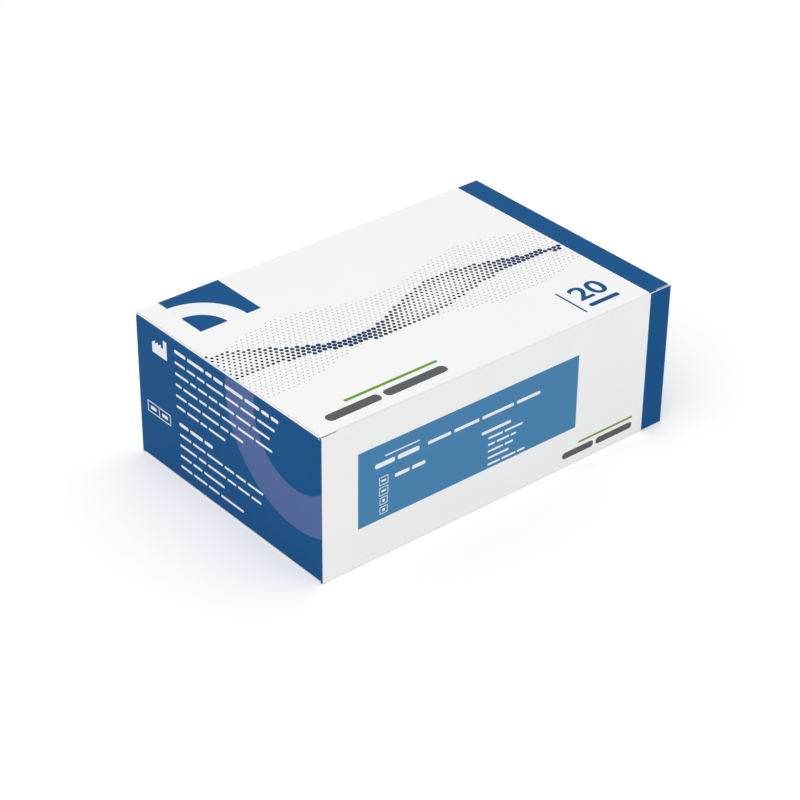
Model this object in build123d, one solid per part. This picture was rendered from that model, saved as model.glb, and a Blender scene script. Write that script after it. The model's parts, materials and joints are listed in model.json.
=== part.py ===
from build123d import *
import os
from math import cos, radians, sin, tan

# A tuck-top folding carton with a glued auto-lock bottom, empty and closed.
# Frame: origin on the table under the middle of the box, +X along its length,
# +Y towards the rear, where the lid hinges, +Z up. Millimetres.

# The erected carton, outside
length = 200.0
width = 131.0
height = 73.0

# The sheet: one folding boxboard, creased with a small inside radius
board = 0.5
crease_inner = 0.25
layer_gap = 0.1        # air between board layers that lie on each other
glue_film = 0.1        # adhesive between bonded layers

# Corners where two creases meet, and the raw edges beside them
corner_relief = 1.5    # panel end to where a flap's crease starts
slit = 0.3             # die-cut slit between a flap and the corner post beside it
post_foot = 0.15       # height of the corner posts' feet above the table
raw_edge_setback = 0.2  # right end panel's glued edge, short of the back panel's face

# Lid and tuck flap
front_edge_drop = 0.2  # front panel's raw top edge, below the lid's face
hinge_gap = 0.02       # rounded top of the back panel to the lid's hinge edge
lid_side_gap = 0.3     # lid's side edges, inside the end panels' inner faces
tuck_depth = 16.0
tuck_gap = 0.3         # tuck crease to the front panel's inner face
tuck_lean = 5.0        # degrees that the tuck leans in, so that it slides in freely
tuck_side_gap = 2.0    # tuck's sides to the end panels' inner faces
tuck_taper = 2.5       # how much narrower each side is at the tip
tuck_corner = 10.0     # corner radius at the tip
lock_slit = 8.0        # length of the lock slit at each end of the tuck's crease
lock_slit_width = 0.6  # lid's underside to the tuck's shoulder
corner_setback = 0.3   # lid's flat front corners, behind the line of the tuck's crease

# Dust flaps
dust_depth = 55.0
dust_gap = 0.8         # dust flap's front edge to the tuck's inner face
dust_shoulder = 9.0    # length of the straight shoulder beside the tuck
dust_step = 6.0        # how far the flap steps back behind the shoulder
dust_taper = 4.0       # how much each side leans in over the flap's depth
dust_corner = 8.0

# Glue flap at the rear right corner
glue_flap_depth = 16.0
glue_flap_bevel = 15.0  # degrees at its ends
glue_margin = 1.5       # from a bonded layer's edge to the adhesive
glue_end_margin = 8.0   # from the bottom and the top to the ends of the glue line

# Auto-lock bottom: two long flaps hook into each other on the centre line
seam_reach = 3.0       # a plain edge passes the centre line by this much
seam_gap = 0.5         # plain edge to the other flap's edge beside it
nose_reach = 12.0      # the hook passes the centre line by this much
nose_length = 34.0
nose_taper = 5.0       # how much shorter each end of the hook is at its tip
nose_corner = 5.0
hook_gap = 1.2         # notch at the middle, between plain edge and hook
joggle_run = 3.0       # length over which a hook rises to the inner layer
joggle_lead = 0.5      # a plain edge to the foot of the other flap's rise
joggle_radius = 3.0
bottom_taper = 2.0     # how much the long flaps' sides lean in
end_flap_depth = 54.0  # the two short flaps, inside the long ones
tab_length = 46.0      # glued tab, along the long panel
tab_chamfer = 8.0
tab_glue_start = 9.0   # from the corner of the box to the adhesive under a tab
end_flap_slope = 26.0  # how far the unglued side steps back from its corner
crease_line_width = 0.8
crease_line_depth = 0.12

# Worked out from the above
crease_outer = crease_inner + board
crease_middle = crease_inner + board / 2
inside_end = length / 2 - board            # inner face of an end panel, from the middle
inside_front = width / 2 - board           # inner face of a long panel, from the middle
lid_under = height - board
flap_top = lid_under - layer_gap           # upper face of the dust flaps
front_top = height - front_edge_drop
hinge_y = width / 2 - board / 2            # the lid turns about the middle of the sheet
hinge_z = height - board / 2
hinge_half = length / 2 - corner_relief    # half the length of the hinge crease
end_flap_level = board + layer_gap         # underside of the bottom's inner layer
lid_half = inside_end - lid_side_gap
tuck_front = inside_front - tuck_gap       # outermost line of the tuck's crease
dust_front = tuck_front - board - dust_gap
far = 2 * length                           # longer than anything that is cut

# A long bottom flap, as distances inward from the outer face of its own wall
plain_edge = width / 2 + seam_reach
short_edge = width / 2 - seam_reach - seam_gap
rise_end = short_edge - joggle_lead
rise_start = rise_end - joggle_run
hook_joint = rise_start - joggle_radius    # the flat of the flap ends here, at the hook's root
hook_tip = width / 2 + nose_reach


def block(x0, x1, y0, y1, z0, z1):
    """Solid between two corners."""
    return Pos(x0, y0, z0) * Box(x1 - x0, y1 - y0, z1 - z0, align=(Align.MIN,) * 3)


def rounded(points, corners=(), radius=0.0):
    """Flat outline through the points, with the corners named by their index rounded."""
    outline = make_face(Polyline(*points, close=True))
    for index in corners:
        x, y = points[index][:2]
        corner = outline.vertices().sort_by_distance((x, y, 0))[0]
        outline = fillet(corner, radius)
    return outline


def folded_sheet(points, radius):
    """Section of the sheet, board thick, along a line through the middle of its thickness."""
    return trace(FilletPolyline(*points, radius=radius), line_width=board)


def extrude_along_x(section, x0, x1):
    """A section drawn as (y, z), run from x0 to x1."""
    upright = Plane(origin=(x0, 0, 0), x_dir=(0, 1, 0), z_dir=(1, 0, 0))
    return extrude(upright * section, x1 - x0, dir=(1, 0, 0))


def crease(start, end):
    """Quarter fold along X, from a wall with outer face y=0 to a flap with outer face z=0."""
    ring = Circle(crease_outer) - Circle(crease_inner)
    quarter = ring & Pos(-crease_outer / 2, crease_outer / 2) * Rectangle(crease_outer, crease_outer)
    return extrude_along_x(Pos(crease_outer, -crease_outer) * quarter, start, end)


def as_bottom(shape):
    """The same flap at the foot of its wall, with its outer face down."""
    return mirror(shape, about=Plane.XY)


def at_front(shape, level):
    return Pos(0, -width / 2, level) * shape


def at_left(shape, level):
    return Pos(-length / 2, 0, level) * Rot(0, 0, -90) * shape


def turned(shape):
    """The opposite flap of a pair with half-turn symmetry."""
    return Rot(0, 0, 180) * shape


def wall_ring():
    """Four panels and the glue flap: one sheet folded round the box, seen from above."""
    middle_x = length / 2 - board / 2
    middle_y = width / 2 - board / 2
    glue_x = inside_end - glue_film - board / 2
    path = [
        (glue_x, middle_y - glue_flap_depth),
        (glue_x, middle_y),
        (-middle_x, middle_y),
        (-middle_x, -middle_y),
        (middle_x, -middle_y),
        (middle_x, width / 2 - raw_edge_setback),
    ]
    return extrude(Pos(0, 0, post_foot) * folded_sheet(path, crease_middle), front_top - post_foot)


def glue_flap_waste():
    """Wedges that bevel the glue flap's two ends."""
    root = width / 2 - crease_outer
    tip = root - 2 * glue_flap_depth
    slope = (root - tip) * tan(radians(glue_flap_bevel))
    low = end_flap_level + crease_outer
    high = hinge_z - crease_outer
    lower = [(root, -board), (root, low), (tip, low + slope), (tip, -board)]
    upper = [(root, height), (root, high), (tip, high - slope), (tip, height)]
    inner = inside_end - glue_film - board - layer_gap
    outer = inside_end - glue_film / 2
    wedges = [extrude_along_x(make_face(Polyline(*w, close=True)), inner, outer) for w in (lower, upper)]
    return wedges[0] + wedges[1]


def glue_line():
    """Adhesive between the glue flap and the right end panel."""
    top = hinge_z - glue_end_margin
    foot = end_flap_level + glue_end_margin
    rear = width / 2 - crease_outer - glue_margin
    front = width / 2 - glue_flap_depth + glue_margin
    return block(inside_end - glue_film, inside_end, front, rear, foot, top)


def wall_cuts():
    """What is cut from the ring where creases, flaps and the hinge take over from the walls."""
    long_run = length / 2 - corner_relief + slit
    end_run = width / 2 - corner_relief + slit
    dust_run = dust_front + slit
    deep = board + layer_gap / 2
    glue_corner = inside_end - glue_film - crease_outer
    middle = [
        block(-long_run, long_run, -width, -width / 2 + deep, -board, crease_outer),
        block(-long_run, glue_corner, width / 2 - deep, width, -board, crease_outer),
        block(-far, far, width / 2 - deep, width, hinge_z, far),
    ]
    right = [
        block(length / 2 - deep, length, -end_run, end_run, -board, end_flap_level + crease_outer),
        block(length / 2 - deep, length, -dust_run, end_run, flap_top - crease_outer, far),
        block(hinge_half, length, -width / 2 + crease_outer, width, flap_top - board, far),
    ]
    return middle + right + [mirror(cut, about=Plane.YZ) for cut in right]


def walls():
    """Front, back and end panels with the glue flap, cut back to where the flaps start."""
    ring = wall_ring() - glue_flap_waste()
    for cut in wall_cuts():
        ring -= cut
    bead = Pos(0, hinge_y, hinge_z) * Rot(0, 90, 0) * Cylinder(board / 2, 2 * hinge_half)
    return ring + glue_line() + bead


def dust_flap():
    """Left dust flap, with a shoulder beside the tuck and rounded corners."""
    rear = width / 2 - corner_relief
    reach = length / 2 - crease_outer
    root, tip = -reach, -reach + dust_depth - crease_outer
    shoulder = -reach + dust_shoulder
    points = [
        (root, -dust_front),
        (shoulder, -dust_front),
        (shoulder + dust_step, -dust_front + dust_step),
        (tip, -dust_front + dust_step + dust_taper / 2),
        (tip, rear - dust_taper),
        (root, rear),
    ]
    plate = extrude(Pos(0, 0, flap_top) * rounded(points, (3, 4), dust_corner), -board)
    return plate + at_left(crease(-rear, dust_front), flap_top)


def hook_section():
    """Side section of a hook, as (inward distance from its wall, height): it rises one layer."""
    outer, inner = board / 2, end_flap_level + board / 2
    start = hook_joint - joggle_radius
    return folded_sheet([(start, outer), (rise_start, outer), (rise_end, inner), (hook_tip, inner)],
                        joggle_radius)


def hook():
    """The right half's hook of the front flap: it passes over the rear flap's plain edge."""
    near, away = hook_gap / 2, hook_gap / 2 + nose_length
    points = [(near, 0), (away, 0), (away, short_edge), (away - nose_taper, hook_tip),
              (near + nose_taper / 2, hook_tip), (near, short_edge)]
    outline = extrude(rounded(points, (3, 4), nose_corner), end_flap_level + crease_outer)
    return extrude_along_x(hook_section(), near, away) & outline


def long_flap():
    """Front flap of the bottom: plain edge on the left half, hook on the right half."""
    half = length / 2 - corner_relief
    tip_half = half - bottom_taper
    away = hook_gap / 2 + nose_length
    points = [
        (-half, crease_outer),
        (-tip_half, plain_edge),
        (-hook_gap / 2, plain_edge),
        (-hook_gap / 2, hook_joint),
        (away + slit, hook_joint),
        (away + slit, short_edge),
        (tip_half, short_edge),
        (half, crease_outer),
    ]
    plate = extrude(make_face(Polyline(*points, close=True)), board)
    fold = as_bottom(crease(-half, half))
    return at_front(plate + fold + hook(), 0)


def end_flap():
    """Left short flap of the bottom, with its creased tab glued to the front flap."""
    rear = width / 2 - corner_relief
    front = inside_front - corner_relief
    points = [
        (-rear, crease_outer),
        (front, crease_outer),
        (front, tab_length),
        (front - tab_chamfer, tab_length + tab_chamfer),
        (-rear + end_flap_slope + end_flap_depth / 2, end_flap_depth),
        (-rear + end_flap_slope / 2, end_flap_depth / 2),
    ]
    plate = extrude(rounded(points, (4,), dust_corner), board)
    fold = as_bottom(crease(-rear, front))
    return at_left(plate + fold - tab_crease(front), end_flap_level) + tab_glue(front)


def tab_crease(front):
    """Pressed line at 45 degrees from the corner, which lets the carton fold flat."""
    run = tab_length + tab_chamfer
    line = Rectangle(2 * run, crease_line_width)
    groove = extrude(Rot(0, 0, -45) * line, crease_line_depth)
    return Pos(front, crease_outer, board - crease_line_depth) * groove


def tab_glue(front):
    """Adhesive under the tab, on the front flap."""
    side, end = front - glue_margin, tab_length - 2 * glue_margin
    points = [(side, crease_outer + tab_glue_start), (side, end), (front - tab_length + tab_glue_start, end)]
    film = extrude(make_face(Polyline(*points, close=True)), layer_gap)
    return at_left(film, board)


def carton_body():
    """Everything but the lid: one folded and glued sheet."""
    left_dust = dust_flap()
    parts = [
        left_dust,
        mirror(left_dust, about=Plane.YZ),
        long_flap(),
        turned(long_flap()),
        end_flap(),
        turned(end_flap()),
    ]
    body = walls()
    for part in parts:
        body += part
    return body


def tuck_profile():
    """Section of crease and tuck as (y, z), from the lid's plane down to the tip."""
    lean = radians(tuck_lean)
    fold_y = -tuck_front + crease_outer - crease_middle * (1 + sin(lean)) / cos(lean)
    middle_z = height - board / 2
    drop = tuck_depth - board / 2
    tip = (fold_y + drop * sin(lean) / cos(lean), middle_z - drop)
    start = -tuck_front + 2 * crease_outer
    return folded_sheet([(start, middle_z), (fold_y, middle_z), tip], crease_middle)


def tuck_outline():
    """The tuck seen from the front, as (x, z): shoulders under the lock slits, rounded tip."""
    side = inside_end - tuck_side_gap
    shoulder = lid_under - lock_slit_width
    tip = height - tuck_depth - board
    inner = lid_half - lock_slit
    points = [(-inner, height), (-inner, shoulder), (-side, shoulder), (-side + tuck_taper, tip),
              (side - tuck_taper, tip), (side, shoulder), (inner, shoulder), (inner, height)]
    return rounded(points, (3, 4), tuck_corner)


def lid():
    """Closure panel and tuck flap, with a lock slit at each end of the crease between them."""
    rear = width / 2 - board - hinge_gap
    fold = -tuck_front + crease_outer
    slit_end = lid_half - lock_slit
    corner_front = -tuck_front + corner_setback
    points = [(-lid_half, rear), (-lid_half, corner_front), (-slit_end, corner_front), (-slit_end, fold),
              (slit_end, fold), (slit_end, corner_front), (lid_half, corner_front), (lid_half, rear)]
    panel = extrude(Pos(0, 0, lid_under) * make_face(Polyline(*points, close=True)), board)
    tuck = extrude_along_x(tuck_profile(), -lid_half, lid_half)
    outline = extrude(Plane.XZ * tuck_outline(), width)
    return panel + (tuck & outline)


os.makedirs("parts", exist_ok=True)
nodes = {"carton_body": carton_body(), "lid": lid()}
for name, shape in nodes.items():
    export_step(shape, f"parts/{name}.step")
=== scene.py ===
import json
from collections import namedtuple
from math import atan2, cos, degrees, exp, pi, radians, sin, sqrt
from random import Random

import bmesh
import bpy
from mathutils import Matrix, Vector
from mathutils.bvhtree import BVHTree


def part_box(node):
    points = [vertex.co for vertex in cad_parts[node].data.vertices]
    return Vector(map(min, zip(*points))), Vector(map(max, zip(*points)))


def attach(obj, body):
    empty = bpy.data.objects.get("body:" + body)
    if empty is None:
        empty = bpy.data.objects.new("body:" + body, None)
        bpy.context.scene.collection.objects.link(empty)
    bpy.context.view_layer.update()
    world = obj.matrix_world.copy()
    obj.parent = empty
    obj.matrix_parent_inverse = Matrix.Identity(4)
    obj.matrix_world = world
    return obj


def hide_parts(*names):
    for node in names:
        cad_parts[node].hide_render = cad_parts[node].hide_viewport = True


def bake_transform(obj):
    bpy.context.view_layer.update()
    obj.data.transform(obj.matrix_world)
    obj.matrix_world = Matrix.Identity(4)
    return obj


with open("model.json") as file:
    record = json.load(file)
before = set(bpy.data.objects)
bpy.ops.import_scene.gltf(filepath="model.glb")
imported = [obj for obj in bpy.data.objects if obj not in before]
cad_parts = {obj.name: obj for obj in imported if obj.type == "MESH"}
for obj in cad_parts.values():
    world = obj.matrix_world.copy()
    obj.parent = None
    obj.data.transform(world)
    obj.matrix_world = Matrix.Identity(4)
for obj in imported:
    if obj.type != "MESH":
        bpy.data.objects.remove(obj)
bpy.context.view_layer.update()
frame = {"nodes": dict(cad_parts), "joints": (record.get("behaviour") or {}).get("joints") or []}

# A closed, printed paperboard carton. Its lengths are in millimetres, the scene's in metres.
MM = 0.001

# Sizes read from the frame
body_low, body_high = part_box("carton_body")
_, lid_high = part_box("lid")
LENGTH = (body_high.x - body_low.x) / MM
WIDTH = (body_high.y - body_low.y) / MM
HEIGHT = lid_high.z / MM
HINGE = Vector(frame["joints"][0]["pos_m"]) / MM
BOARD = 2 * (HEIGHT - HINGE.z)
CREASE = 1.5 * BOARD                  # outer radius of a fold
LID_HALF = lid_high.x / MM

# Print layout, measured from the left end and from the rear or top edge
BAND_START = 187.0                    # blue band at the right end, round the carton
SQUARE = (12.0, 0.0, 44.6, 32.2)      # blue square at the rear of the lid
LABEL = (19.1, 15.6, 144.2, 53.4)     # pale blue panel on the front
RING_CENTRE, RING_OUTER, RING_INNER = (113.0, 6.5), 47.0, 27.5    # pale ring on the left end
TOP_FOLD = BOARD + 0.1 + CREASE       # from the lid's face down to the foot of a dust flap's fold
INK = 0.03                            # thickness of a layer of ink
SINK = 0.02                           # how far ink goes into the board
FACING = 0.99                         # a flat panel's normal has more than this along one axis


def add_object(name, data):
    """A new object in the scene."""
    thing = bpy.data.objects.new(name, data)
    bpy.context.scene.collection.objects.link(thing)
    return thing


# Camera and studio

def point_camera():
    """Camera at the photograph's viewing angle."""
    azimuth, elevation, roll = radians(-40.34), radians(32.37), radians(0.682)
    distance, aside, above, lens = 1.109, -0.00214, 0.01638, 108.85
    back = Vector((sin(azimuth) * cos(elevation), -cos(azimuth) * cos(elevation), sin(elevation)))
    level = Vector((cos(azimuth), sin(azimuth), 0))
    upright = back.cross(level)
    right = level * cos(roll) + upright * sin(roll)
    up = upright * cos(roll) - level * sin(roll)
    data = bpy.data.cameras.new("camera")
    data.lens = lens
    data.clip_start, data.clip_end = 0.01, 100
    camera = add_object("camera", data)
    place = back * distance + right * aside + up * above
    turned = Matrix((right, up, back)).transposed().to_4x4()
    camera.matrix_world = Matrix.Translation(place) @ turned
    bpy.context.scene.camera = camera


def seen_directly(tree):
    """1 where a ray comes from the camera, a mirror or glass, and 0 for light on the object."""
    path = tree.nodes.new("ShaderNodeLightPath")
    total = path.outputs["Is Camera Ray"]
    for name in ("Is Glossy Ray", "Is Transmission Ray"):
        add = tree.nodes.new("ShaderNodeMath")
        add.operation, add.use_clamp = "ADD", True
        tree.links.new(total, add.inputs[0])
        tree.links.new(path.outputs[name], add.inputs[1])
        total = add.outputs[0]
    return total


def light_world(strength):
    """Even white surroundings, white to the camera."""
    world = bpy.data.worlds.new("studio")
    bpy.context.scene.world = world
    world.use_nodes = True
    tree = world.node_tree
    tree.nodes.clear()
    output = tree.nodes.new("ShaderNodeOutputWorld")
    mix = tree.nodes.new("ShaderNodeMixShader")
    around, shown = (tree.nodes.new("ShaderNodeBackground") for _ in range(2))
    around.inputs["Strength"].default_value = strength
    around.inputs["Color"].default_value = (1, 1, 1, 1)
    shown.inputs["Color"].default_value = (1, 1, 1, 1)
    tree.links.new(seen_directly(tree), mix.inputs[0])
    tree.links.new(around.outputs[0], mix.inputs[1])
    tree.links.new(shown.outputs[0], mix.inputs[2])
    tree.links.new(mix.outputs[0], output.inputs["Surface"])


def softbox(name, place, aim, size, power):
    """Square soft light at place, facing aim, both in metres."""
    data = bpy.data.lights.new(name, "AREA")
    data.size, data.energy = size, power
    lamp = add_object(name, data)
    towards = Vector(place) - Vector(aim)
    turned = towards.to_track_quat("Z", "Y").to_matrix().to_4x4()
    lamp.matrix_world = Matrix.Translation(place) @ turned


def lay_floor():
    """White floor that keeps the carton's shadow. Farther out, where the lamp reaches less, its own
    white is a little stronger, so that no horizon shows."""
    mesh = bpy.data.meshes.new("floor")
    half = 12.0
    under = -0.05 * MM
    corners = [(x * half, y * half, under) for x, y in ((-1, -1), (1, -1), (1, 1), (-1, 1))]
    mesh.from_pydata(corners, [], [(0, 1, 2, 3)])
    floor = add_object("floor", mesh)
    material = bpy.data.materials.new("floor_white")
    material.use_nodes = True
    tree = material.node_tree
    tree.nodes.clear()
    output = tree.nodes.new("ShaderNodeOutputMaterial")
    diffuse = tree.nodes.new("ShaderNodeBsdfDiffuse")
    diffuse.inputs["Color"].default_value = (0.9, 0.9, 0.9, 1)
    spot = tree.nodes.new("ShaderNodeTexCoord")
    away = tree.nodes.new("ShaderNodeVectorMath")
    away.operation = "LENGTH"
    tree.links.new(spot.outputs["Object"], away.inputs[0])
    farther = tree.nodes.new("ShaderNodeMapRange")
    for name, value in (("From Min", 0.6), ("From Max", 4.0), ("To Min", 0.2), ("To Max", 0.29)):
        farther.inputs[name].default_value = value
    tree.links.new(away.outputs["Value"], farther.inputs["Value"])
    strength = tree.nodes.new("ShaderNodeMath")
    strength.operation = "MULTIPLY"
    tree.links.new(farther.outputs["Result"], strength.inputs[0])
    tree.links.new(seen_directly(tree), strength.inputs[1])
    lift = tree.nodes.new("ShaderNodeEmission")
    lift.inputs["Color"].default_value = (1, 1, 1, 1)
    add = tree.nodes.new("ShaderNodeAddShader")
    tree.links.new(strength.outputs[0], lift.inputs["Strength"])
    tree.links.new(diffuse.outputs[0], add.inputs[0])
    tree.links.new(lift.outputs[0], add.inputs[1])
    tree.links.new(add.outputs[0], output.inputs["Surface"])
    mesh.materials.append(material)


# Materials

def noise(tree, scale, detail=4.0, stretch=(1, 1, 1)):
    """Noise in the object's own coordinates, with scale in features a metre."""
    place = tree.nodes.new("ShaderNodeTexCoord")
    mapping = tree.nodes.new("ShaderNodeMapping")
    mapping.inputs["Scale"].default_value = stretch
    texture = tree.nodes.new("ShaderNodeTexNoise")
    texture.inputs["Scale"].default_value = scale
    texture.inputs["Detail"].default_value = detail
    tree.links.new(place.outputs["Object"], mapping.inputs["Vector"])
    tree.links.new(mapping.outputs["Vector"], texture.inputs["Vector"])
    return texture.outputs["Fac"]


def ranged(tree, value, low, high):
    """Noise values brought to run from low to high."""
    node = tree.nodes.new("ShaderNodeMapRange")
    node.inputs["From Min"].default_value = 0.25
    node.inputs["From Max"].default_value = 0.75
    node.inputs["To Min"].default_value = low
    node.inputs["To Max"].default_value = high
    tree.links.new(value, node.inputs["Value"])
    return node.outputs["Result"]


def scaled_colour(tree, colour, factor):
    """The colour times a factor that varies over the surface."""
    node = tree.nodes.new("ShaderNodeVectorMath")
    node.operation = "SCALE"
    node.inputs[0].default_value = colour
    tree.links.new(factor, node.inputs["Scale"])
    return node.outputs["Vector"]


def board_material(name, colour, rough, shine, mottle, grain, tooth, stretch=(1, 1, 1)):
    """Paperboard or the ink on it. mottle is how much the colour varies, grain the features a
    metre of its tooth, and tooth the depth of that relief in millimetres."""
    material = bpy.data.materials.new(name)
    material.use_nodes = True
    material.diffuse_color = (*colour, 1)
    tree = material.node_tree
    shader = tree.nodes["Principled BSDF"]
    shader.inputs["Specular IOR Level"].default_value = shine
    cloudy = ranged(tree, noise(tree, 45, 3), 1 - mottle, 1 + mottle)
    fine = ranged(tree, noise(tree, grain, 5, stretch), 1 - mottle, 1 + mottle)
    both = tree.nodes.new("ShaderNodeMath")
    both.operation = "MULTIPLY"
    tree.links.new(cloudy, both.inputs[0])
    tree.links.new(fine, both.inputs[1])
    tree.links.new(scaled_colour(tree, colour, both.outputs[0]), shader.inputs["Base Color"])
    uneven = ranged(tree, noise(tree, grain / 2), rough - 0.04, rough + 0.04)
    tree.links.new(uneven, shader.inputs["Roughness"])
    bump = tree.nodes.new("ShaderNodeBump")
    bump.inputs["Strength"].default_value = 1.0
    bump.inputs["Distance"].default_value = tooth * MM
    tree.links.new(noise(tree, grain, 6, stretch), bump.inputs["Height"])
    tree.links.new(bump.outputs["Normal"], shader.inputs["Normal"])
    return material


def srgb(red, green, blue):
    """Linear colour from the 0 to 255 values that a picture shows."""
    def linear(value):
        value /= 255
        return value / 12.92 if value <= 0.04045 else ((value + 0.055) / 1.055) ** 2.4
    return linear(red), linear(green), linear(blue)


def ink_material(name, colour):
    """Offset ink under a thin satin varnish."""
    return board_material(name, colour, 0.5, 0.045, 0.02, 1500, 0.006)


def tint(material, factor, colour):
    """Mixes a second colour into a material's own, by a factor that varies over the surface."""
    tree = material.node_tree
    shader = tree.nodes["Principled BSDF"]
    own = shader.inputs["Base Color"].links[0].from_socket
    mix = tree.nodes.new("ShaderNodeMix")
    mix.data_type = "RGBA"
    mix.inputs["B"].default_value = (*colour, 1)
    tree.links.new(factor, mix.inputs["Factor"])
    tree.links.new(own, mix.inputs["A"])
    tree.links.new(mix.outputs["Result"], shader.inputs["Base Color"])


def fold_crack_highlight_material(name, ink):
    """Ink along a fold, lightened a little: partly stretched, cracked ink with the white board showing
    through, partly a painted highlight along the fold.
    """
    material = ink_material(name, ink)
    tree = material.node_tree
    # Painted highlight and cracked ink: noise mixes up to 5% white board into the ink on the fold.
    tint(material, ranged(tree, noise(tree, 900, 3), 0.0, 0.05), srgb(236, 238, 238))
    return material


def fleck_board(name, colour, rough, mottle, grain, tooth):
    """Plain, uncoated board, with sparse darker fibres pressed into it."""
    material = board_material(name, colour, rough, 0.15, mottle, grain, tooth)
    tree = material.node_tree
    fibre = tree.nodes.new("ShaderNodeMapRange")
    fibre.inputs["From Min"].default_value = 0.66
    fibre.inputs["From Max"].default_value = 0.74
    fibre.inputs["To Max"].default_value = 0.4
    tree.links.new(noise(tree, 330, 2, (1, 3.2, 2)), fibre.inputs["Value"])
    tint(material, fibre.outputs["Result"], srgb(196, 186, 168))
    return material


BLUE_INK = srgb(17, 84, 139)
WHITE_BOARD = board_material("coated_white", srgb(248, 248, 248), 0.5, 0.25, 0.006, 1500, 0.008)
INSIDE_BOARD = fleck_board("uncoated_inside", srgb(238, 236, 230), 0.85, 0.012, 1100, 0.03)
CUT_EDGE = board_material("cut_edge", srgb(242, 240, 235), 0.9, 0.1, 0.05, 3500, 0.05,
                          (0.15, 0.15, 1))
BLUE = ink_material("blue_ink", BLUE_INK)
# Blue ink on folds: partly cracked ink, partly a painted highlight along the fold.
BLUE_FOLD = fold_crack_highlight_material("blue_ink_on_fold", BLUE_INK)
LABEL_BLUE = ink_material("label_blue_ink", srgb(74, 134, 178))
WAVE_BLUE = ink_material("wave_blue_ink", srgb(8, 56, 96))
NAVY = ink_material("navy_ink", srgb(18, 38, 56))
SLATE = ink_material("slate_ink", srgb(76, 90, 102))
MIST = ink_material("mist_ink", srgb(160, 167, 173))
LAVENDER_INK = srgb(84, 108, 160)
LAVENDER = ink_material("lavender_ink", LAVENDER_INK)
# Lavender ink on folds: partly cracked ink, partly a painted highlight along the fold.
LAVENDER_FOLD = fold_crack_highlight_material("lavender_ink_on_fold", LAVENDER_INK)
GREY = ink_material("grey_ink", srgb(94, 95, 97))
GREEN = ink_material("green_ink", srgb(110, 160, 52))
PAPER_WHITE = ink_material("reversed_white", srgb(244, 246, 248))


# The board: the frame's two nodes, with their printed side, plain inside and cut edges told apart

BOARD_LOOKS = (WHITE_BOARD, INSIDE_BOARD, CUT_EDGE, BLUE, LABEL_BLUE, BLUE_FOLD, LAVENDER_FOLD)
OUTER, INNER, EDGE, BLUE_INDEX, LABEL_INDEX, FOLD_INDEX, RING_INDEX = range(len(BOARD_LOOKS))
MOST_BONDED = 2.4                     # two glued layers with their adhesive, in board thicknesses


def sort_sides(bm):
    """Marks each face as the sheet's printed side, its inside or a cut edge, by how much board
    lies behind it and whether it looks away from the carton's middle."""
    side = bm.faces.layers.int.new("side")
    tree = BVHTree.FromBMesh(bm)
    middle = Vector((0, 0, HEIGHT / 2)) * MM
    step = BOARD * MM / 100
    for face in bm.faces:
        start = face.calc_center_median() - face.normal * step
        hit = tree.ray_cast(start, -face.normal)
        thickness = hit[3] + step if hit[3] is not None else 1
        if thickness > MOST_BONDED * BOARD * MM:
            face[side] = EDGE
        else:
            face[side] = OUTER if face.normal.dot(start - middle) > 0 else INNER
    return side


def cut_across(bm, faces, place, across):
    """Cuts the given faces along a plane, so that print can end there."""
    edges = {edge for face in faces for edge in face.edges}
    verts = {vert for face in faces for vert in face.verts}
    bmesh.ops.bisect_plane(bm, geom=[*faces, *edges, *verts], plane_co=Vector(place) * MM,
                           plane_no=across)


def board_copy(name, node, body, paint):
    """A copy of a node's mesh, with the looks of printed board. paint(bm, side) sets the print."""
    bm = bmesh.new()
    bm.from_mesh(frame["nodes"][node].data)
    bmesh.ops.remove_doubles(bm, verts=bm.verts, dist=0.001 * MM)
    bm.normal_update()
    side = sort_sides(bm)
    for face in bm.faces:
        face.material_index = face[side]
    paint(bm, side)
    # Blue faces on the round of a fold take the ink with a painted highlight along the fold, partly
    # also cracked ink.
    for face in bm.faces:
        if face.material_index == BLUE_INDEX and folded(face):
            face.material_index = FOLD_INDEX
    bmesh.ops.dissolve_limit(bm, angle_limit=radians(0.05), verts=bm.verts, edges=bm.edges,
                             delimit={"MATERIAL"})
    mesh = bpy.data.meshes.new(name)
    bm.to_mesh(mesh)
    bm.free()
    for material in BOARD_LOOKS:
        mesh.materials.append(material)
    mesh.shade_smooth()
    mesh.set_sharp_from_angle(angle=radians(35))
    piece = add_object(name, mesh)
    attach(piece, body)
    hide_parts(node)


def folded(face):
    """Whether a face lies on the round of a fold."""
    return max(abs(part) for part in face.normal) < FACING


def paint_band(bm, side):
    """Blue band at the right end, over every printed face but the bottom."""
    x = BAND_START - LENGTH / 2

    def inked(face):
        underneath = face.normal.z < -0.9 and face.calc_center_median().z < 2 * BOARD * MM
        return face[side] == OUTER and not underneath

    cut_across(bm, [face for face in bm.faces if inked(face)], (x, 0, 0), (1, 0, 0))
    for face in bm.faces:
        if inked(face) and face.calc_center_median().x > x * MM:
            face.material_index = BLUE_INDEX


def paint_panel(bm, side, on_panel, box, axes, index):
    """Colours a rectangle of a flat panel. box is (low, high) along the two axes given."""
    for axis, limits in zip(axes, box):
        across = Vector((0, 0, 0))
        across[axis] = 1
        for limit in limits:
            faces = [face for face in bm.faces if face[side] == OUTER and on_panel(face)]
            cut_across(bm, faces, across * limit, across)
    for face in bm.faces:
        middle = face.calc_center_median() / MM
        inside = all(low < middle[axis] < high for axis, (low, high) in zip(axes, box))
        if inside and face[side] == OUTER and on_panel(face):
            face.material_index = index


def paint_lid(bm, side):
    """Blue square and blue band on the lid."""
    left, rear, right, front = SQUARE
    box = ((left - LENGTH / 2, right - LENGTH / 2), (WIDTH / 2 - front, WIDTH / 2 - rear))
    paint_panel(bm, side, lambda face: face.normal.z > FACING, box, (0, 1), BLUE_INDEX)
    paint_band(bm, side)


def ring_reach(radius, offset):
    """Half the chord of a circle at a distance from its middle."""
    return sqrt(radius ** 2 - offset ** 2)


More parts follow.
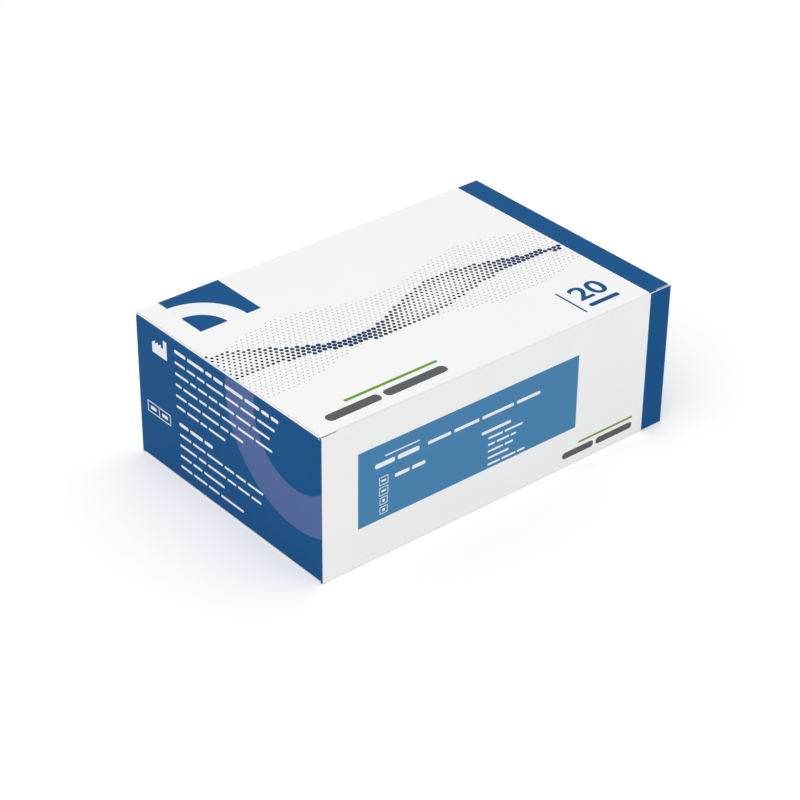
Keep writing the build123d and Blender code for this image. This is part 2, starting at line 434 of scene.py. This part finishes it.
def paint_ring_folds(bm):
    """The ring's colour on the two folds of the left end that the ring runs into."""
    across, down = RING_CENTRE
    radii = (RING_OUTER, RING_INNER)
    rear, front = (WIDTH / 2 - across + ring_reach(radius, down - TOP_FOLD) for radius in radii)
    foot, head = (HEIGHT - down - ring_reach(radius, WIDTH - CREASE - across) for radius in radii)

    def on_fold(face):
        return face.material_index == BLUE_INDEX and face.normal.x < 0 and folded(face)

    for place, axis in (((0, rear, 0), (0, 1, 0)), ((0, front, 0), (0, 1, 0)),
                        ((0, 0, foot), (0, 0, 1)), ((0, 0, head), (0, 0, 1))):
        cut_across(bm, [face for face in bm.faces if on_fold(face)], place, axis)
    for face in bm.faces:
        middle = face.calc_center_median() / MM
        over = middle.z > HEIGHT - TOP_FOLD and front < middle.y < rear
        round_corner = middle.y < -WIDTH / 2 + CREASE and foot < middle.z < head
        # These fold faces take the lavender ink with a painted highlight along the fold, partly also
        # cracked ink.
        if on_fold(face) and (over or round_corner):
            face.material_index = RING_INDEX


def paint_body(bm, side):
    """Label on the front, blue band, blue ends and the ring's colour on the left end's folds."""
    left, top, right, bottom = LABEL
    box = ((left - LENGTH / 2, right - LENGTH / 2), (HEIGHT - bottom, HEIGHT - top))
    front = WIDTH / 2 - BOARD / 2

    def on_front(face):
        return face.normal.y < -FACING and face.calc_center_median().y < -front * MM

    paint_panel(bm, side, on_front, box, (0, 2), LABEL_INDEX)
    paint_band(bm, side)
    for face in bm.faces:
        beyond = abs(face.calc_center_median().x) > (LENGTH / 2 - CREASE) * MM
        bottom_layer = face.calc_center_median().z < BOARD * MM
        turned_out = abs(face.normal.x) > max(abs(face.normal.y), abs(face.normal.z)) - 0.02
        if face[side] == OUTER and beyond and not bottom_layer and turned_out:
            face.material_index = BLUE_INDEX
    paint_ring_folds(bm)


# Ink: thin closed plates on a face of the carton

Panel = namedtuple("Panel", "corner right down out body")
TOP = Panel(Vector((-LENGTH / 2, WIDTH / 2, HEIGHT)), Vector((1, 0, 0)), Vector((0, -1, 0)),
            Vector((0, 0, 1)), "lid")
FRONT = Panel(Vector((-LENGTH / 2, -WIDTH / 2, HEIGHT)), Vector((1, 0, 0)), Vector((0, 0, -1)),
              Vector((0, -1, 0)), "carton")
LEFT = Panel(Vector((-LENGTH / 2, WIDTH / 2, HEIGHT)), Vector((0, -1, 0)), Vector((0, 0, -1)),
             Vector((-1, 0, 0)), "carton")


class Print:
    """Flat shapes in one colour, or several, on one panel. Points are (from left, from top)."""

    def __init__(self, name, panel, materials, slot, layer=1):
        self.name, self.panel, self.slot = name, panel, slot
        self.materials = materials
        self.lift = layer * INK
        self.bm = bmesh.new()

    def _verts(self, points, lift):
        panel = self.panel
        spots = [panel.corner + panel.right * u + panel.down * v + panel.out * lift for u, v in points]
        return [self.bm.verts.new(spot * MM) for spot in spots]

    def plate(self, points, colour=0):
        """Plate with a simple outline."""
        top, foot = self._verts(points, self.lift), self._verts(points, -SINK)
        faces = [self.bm.faces.new(top), self.bm.faces.new(foot[::-1])]
        for i in range(len(points)):
            j = (i + 1) % len(points)
            faces.append(self.bm.faces.new((top[i], foot[i], foot[j], top[j])))
        for face in faces:
            face.material_index = colour

    def frame(self, outer, inner, colour=0):
        """Plate between two outlines with as many points each."""
        rings = [self._verts(points, lift)
                 for points in (outer, inner) for lift in (self.lift, -SINK)]
        outer_top, outer_foot, inner_top, inner_foot = rings
        for i in range(len(outer)):
            j = (i + 1) % len(outer)
            quads = ((outer_top[i], outer_top[j], inner_top[j], inner_top[i]),
                     (outer_foot[j], outer_foot[i], inner_foot[i], inner_foot[j]),
                     (outer_top[i], outer_foot[i], outer_foot[j], outer_top[j]),
                     (inner_top[j], inner_foot[j], inner_foot[i], inner_top[i]))
            for quad in quads:
                self.bm.faces.new(quad).material_index = colour

    def bar(self, left, top, right, bottom, corner=0.5, colour=0):
        """Bar with rounded corners."""
        self.plate(rounded_box(left, top, right, bottom, corner), colour)

    def box_line(self, left, top, right, bottom, line):
        """Outlined box."""
        self.frame([(left, top), (right, top), (right, bottom), (left, bottom)],
                   [(left + line, top + line), (right - line, top + line),
                    (right - line, bottom - line), (left + line, bottom - line)])

    def done(self):
        """Makes the piece and lets it ride on its panel's body."""
        bmesh.ops.recalc_face_normals(self.bm, faces=self.bm.faces)
        mesh = bpy.data.meshes.new(self.name)
        self.bm.to_mesh(mesh)
        self.bm.free()
        for material in self.materials:
            mesh.materials.append(material)
        piece = add_object(self.name, mesh)
        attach(piece, self.panel.body)


def arc(centre, radius, start, end, steps):
    """Points along an arc, in degrees from the right towards the bottom."""
    angles = [radians(start + (end - start) * i / steps) for i in range(steps + 1)]
    return [(centre[0] + radius * cos(a), centre[1] + radius * sin(a)) for a in angles]


def rounded_box(left, top, right, bottom, corner, steps=4):
    """Outline of a box with rounded corners."""
    corner = min(corner, (right - left) / 2.01, (bottom - top) / 2.01)
    centres = ((right - corner, bottom - corner, 0), (left + corner, bottom - corner, 90),
               (left + corner, top + corner, 180), (right - corner, top + corner, 270))
    return [point for x, y, turn in centres
            for point in arc((x, y), corner, turn, turn + 90, steps)]


def word_bars(ink, left, right, middle, high, seed, shortest=4.0, longest=13.0, space=1.4):
    """A line of plain bars with the rhythm of words, from left to right."""
    draw = Random(seed)
    at = left
    while at < right - 0.5 * shortest:
        end = min(at + draw.uniform(shortest, longest), right)
        if right - end < shortest + space:
            end = right
        ink.bar(at, middle - high / 2, end, middle + high / 2, 0.35 * high)
        at = end + space


# Print on the lid

WAVE_TOP, WAVE_BOTTOM = 42.0, 98.0
DOT_PITCH, ROW_PITCH = 2.7, 2.2


def wave_strength(u, v):
    """Share of ink at a point of the lid: a ribbon that twists twice, over a paler and wider one."""
    turn = 2 * pi * u / LENGTH
    first = 67.5 - 15.5 * exp(-u / 165) * cos(1.62 * turn - 0.15)
    second = 78.0 + 6.0 * sin(1.3 * turn - 1.9)
    pale_top = 49.5 + 5.5 * sin(1.9 * turn + 2.3)
    pale_foot = 88.5 + 6.0 * cos(1.45 * turn - 0.3)
    low, high = sorted((first, second))
    if low - 1.5 <= v <= high + 1.5:
        narrow = high - low
        near_first = exp(-abs(v - first) / 4.5) * (0.12 + 0.5 * exp(-narrow / 16))
        near_second = 0.26 * exp(-abs(v - second) / 3)
        return min(0.13 + 0.62 * exp(-narrow / 9) + near_first + near_second, 1)
    return 0.085 if min(pale_top, low) <= v <= max(pale_foot, high) else 0


def print_wave():
    """Band of halftone dots across the lid: the more ink, the larger the dot."""
    ink = Print("halftone_wave", TOP, [WAVE_BLUE, NAVY, SLATE, MIST], "ink_navy")
    rows = int((WAVE_BOTTOM - WAVE_TOP) / ROW_PITCH)
    for row in range(rows):
        v = WAVE_TOP + row * ROW_PITCH
        u = DOT_PITCH / 2 + (row % 2) * DOT_PITCH / 2
        while u < BAND_START - 1:
            strength = wave_strength(u, v)
            if strength:
                colour = sum(strength < limit for limit in (0.75, 0.3, 0.12))
                ink.plate(arc((u, v), 0.2 + strength ** 0.7, 0, 330, 11), colour)
            u += DOT_PITCH
    ink.done()


def print_square_arc():
    """White quarter ring across the blue square, off its left side and its front side."""
    left, _, _, bottom = SQUARE
    centre, outer, inner, past = (left, bottom), 25.0, 14.5, 0.2
    ink = Print("square_arc", TOP, [PAPER_WHITE], "ink_white")
    ends = [[(left + radius, bottom + past), (left - past, bottom - radius)]
            for radius in (outer, inner)]
    ink.plate([ends[0][1], *arc(centre, outer, 270, 360, 32), ends[0][0],
               ends[1][0], *arc(centre, inner, 360, 270, 32), ends[1][1]])
    ink.done()


def print_plain_mark(name, panel, left, top, wide, high):
    """Two grey bars under a thin green rule."""
    grey = Print(name + "_grey", panel, [GREY], "ink_grey")
    bar, gap = 0.28 * high, 0.035 * wide
    at, foot = left, top + high
    for share in (0.44, 0.52):
        grey.bar(at, foot - bar, at + share * wide, foot, 0.45 * bar)
        at += share * wide + gap
    grey.done()
    green = Print(name + "_green", panel, [GREEN], "ink_green")
    rule_top, rule_foot = foot - bar - 0.25 * high, foot - bar - 0.16 * high
    green.bar(left + 0.22 * wide, rule_top, left + wide, rule_foot, 0.05 * high)
    green.done()


def print_count():
    """Plain number with a rule beside it and a bar under it."""
    ink = Print("count_rule", TOP, [BLUE], "ink_blue")
    ink.bar(153.0, 104.6, 154.0, 124.9, 0.1)
    ink.bar(158.4, 120.3, 176.0, 123.0, 1.0)
    ink.done()
    curve = bpy.data.curves.new("count_number", "FONT")
    curve.body, curve.size, curve.offset = "20", 15.6 * MM, 0.3 * MM
    curve.extrude = (INK + SINK) / 2 * MM
    text = add_object("count_text", curve)
    bpy.context.view_layer.update()
    solid_text = text.evaluated_get(bpy.context.evaluated_depsgraph_get())
    mesh = bpy.data.meshes.new_from_object(solid_text)
    bpy.data.objects.remove(text)
    low = Vector([min(vert.co[i] for vert in mesh.vertices) for i in range(3)])
    high = Vector([max(vert.co[i] for vert in mesh.vertices) for i in range(3)])
    target = Vector((158.2, 105.4, 176.2, 116.9))
    stretch = Vector(((target.z - target.x) * MM / (high.x - low.x),
                      (target.w - target.y) * MM / (high.y - low.y), 1))
    corner = TOP.corner * MM + Vector((target.x, -target.w, (INK - SINK) / 2)) * MM
    for vert in mesh.vertices:
        spot = vert.co - Vector((low.x, low.y, (low.z + high.z) / 2))
        vert.co = corner + Vector((spot.x * stretch.x, spot.y * stretch.y, spot.z))
    mesh.materials.clear()
    mesh.materials.append(BLUE)
    piece = add_object("count_number", mesh)
    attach(piece, "lid")


# Print on the front panel

def print_label():
    """White bars and outlined boxes on the pale blue panel."""
    ink = Print("label_lines", FRONT, [PAPER_WHITE], "ink_white")
    ink.bar(28.2, 24.7, 39.0, 27.0, 0.9)
    ink.bar(40.4, 24.7, 52.4, 27.0, 0.9)
    ink.bar(33.5, 21.9, 52.4, 22.5, 0.3)
    word_bars(ink, 57.0, 121.4, 25.7, 1.6, 11, 8, 19, 1.8)
    word_bars(ink, 39.0, 55.8, 34.4, 1.8, 12, 7, 9, 1.4)
    for top in (32.2, 37.4):
        ink.box_line(30.5, top, 35.4, top + 4.1, 0.3)
        ink.bar(31.6, top + 1.6, 34.3, top + 2.5, 0.3)
    for top in (42.5, 47.2):
        ink.box_line(30.8, top, 35.1, top + 3.7, 0.3)
        ink.bar(32.3, top + 1.1, 33.6, top + 2.6, 0.3)
    word_bars(ink, 87.6, 104.5, 33.9, 1.5, 13, 16, 17)
    for row, right in enumerate((111.6, 107.8, 106.2, 103.8, 113.4)):
        word_bars(ink, 91.6, right, 37.7 + 3.42 * row, 1.0, 20 + row, 3, 9, 1.0)
    ink.done()


# Print on the left end panel

def print_end_ring():
    """Large pale ring, cut off by the panel's top and front folds."""
    below = RING_CENTRE[1] - TOP_FOLD
    ahead = WIDTH - CREASE - RING_CENTRE[0]

    def meets(radius):
        top = 180 + degrees(atan2(below, ring_reach(radius, below)))
        front = degrees(atan2(ring_reach(radius, ahead), ahead))
        return top, front

    ink = Print("end_ring", LEFT, [LAVENDER], "ink_lavender")
    start, end = meets(RING_OUTER)
    inner_start, inner_end = meets(RING_INNER)
    ink.plate(arc(RING_CENTRE, RING_OUTER, start, end, 40) +
              arc(RING_CENTRE, RING_INNER, inner_end, inner_start, 40))
    ink.done()


def print_end_lines():
    """Two blocks of white bars with a small factory figure and an outlined box."""
    ink = Print("end_lines", LEFT, [PAPER_WHITE], "ink_white", 2)
    first = (102.5, 99.8, 96.3, 97.8, 77.5, 64.6)
    second = (55.0, 90.8, 89.4, 62.9, 76.5)
    blocks = ((first, 29.0, 6.6, 5.6, 40), (second, 30.5, 43.2, 5.55, 60))
    for ends, left, top, pitch, seed in blocks:
        for row, right in enumerate(ends):
            high = 1.7 if row == 0 else 1.15
            word_bars(ink, left, right, top + pitch * row, high, seed + row)
    ink.plate([(12.2, 14.6), (12.2, 9.6), (14.4, 8.2), (14.4, 9.6), (16.6, 8.2), (16.6, 9.6),
               (18.8, 8.2), (18.8, 9.6), (20.6, 9.6), (20.6, 5.3), (23.1, 5.3), (23.1, 14.6)])
    ink.box_line(6.3, 42.3, 23.8, 48.0, 0.45)
    ink.bar(14.9, 42.7, 15.3, 47.6, 0.1)
    ink.bar(8.6, 44.3, 12.9, 46.0, 0.4)
    ink.bar(17.2, 44.3, 21.6, 46.0, 0.4)
    ink.done()


# The hinge crease: the sheet's printed face, which carries on over the fold

def hinge_crease():
    """Thin strip round the hinge, printed outside and plain inside, with a flat run on each panel."""
    flat, steps = 0.5, 12
    square_part, band_part = 1, 3
    radius = BOARD / 2
    left, _, right, _ = SQUARE
    stops = (-LID_HALF, left - LENGTH / 2, right - LENGTH / 2, BAND_START - LENGTH / 2, LID_HALF)
    spots = [(radius, -flat)]
    for i in range(steps + 1):
        angle = radians(90 * i / steps)
        spots.append((radius * cos(angle), radius * sin(angle)))
    spots.append((-flat, radius))
    materials = [WHITE_BOARD, BLUE, BLUE_FOLD, INSIDE_BOARD]
    white, blue, fold, plain = range(len(materials))
    bm = bmesh.new()

    def section(x, lift):
        """The strip's outline at a place along the hinge, lifted off the board."""
        ring = []
        for along, up in spots:
            out = Vector((max(along, 0), max(up, 0))).normalized() * lift
            spot = Vector((x, HINGE.y + along + out.x, HINGE.z + up + out.y))
            ring.append(bm.verts.new(spot * MM))
        return ring

    def face(corners, index):
        bm.faces.new(corners).material_index = index

    outside = [section(x, INK) for x in stops]
    inside = [section(x, 0.0) for x in stops]
    for part in range(len(stops) - 1):
        a, b = part, part + 1
        for i in range(len(spots) - 1):
            over_the_top = i > steps / 2
            on_fold = 0 < i <= steps
            if part == band_part or (part == square_part and over_the_top):
                # On the fold's round the blue is the ink with a painted highlight, partly also cracked
                # ink.
                index = fold if on_fold else blue
            else:
                index = white
            face((outside[a][i], outside[a][i + 1], outside[b][i + 1], outside[b][i]), index)
            face((inside[a][i], inside[a][i + 1], inside[b][i + 1], inside[b][i]), plain)
        for i in (0, -1):
            face((outside[a][i], outside[b][i], inside[b][i], inside[a][i]), white)
    for end in (0, -1):
        for i in range(len(spots) - 1):
            face((outside[end][i], outside[end][i + 1], inside[end][i + 1], inside[end][i]), white)
    bmesh.ops.recalc_face_normals(bm, faces=bm.faces)
    mesh = bpy.data.meshes.new("hinge_crease")
    bm.to_mesh(mesh)
    bm.free()
    for material in materials:
        mesh.materials.append(material)
    mesh.shade_smooth()
    mesh.set_sharp_from_angle(angle=radians(35))
    piece = add_object("hinge_crease", mesh)
    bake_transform(piece)


bpy.context.scene.view_settings.view_transform = "Standard"
point_camera()
light_world(0.80)
softbox("key", (-0.55, -0.5, 1.5), (0, 0, 0.05), 1.4, 6.0)
lay_floor()

board_copy("printed_carton", "carton_body", "carton", paint_body)
board_copy("printed_lid", "lid", "lid", paint_lid)
print_wave()
print_square_arc()
print_plain_mark("lid_mark", TOP, 10.6, 105.0, 65.0, 18.5)
print_count()
print_label()
print_plain_mark("front_mark", FRONT, 137.0, 56.2, 43.5, 12.0)
print_end_ring()
print_end_lines()
hinge_crease()
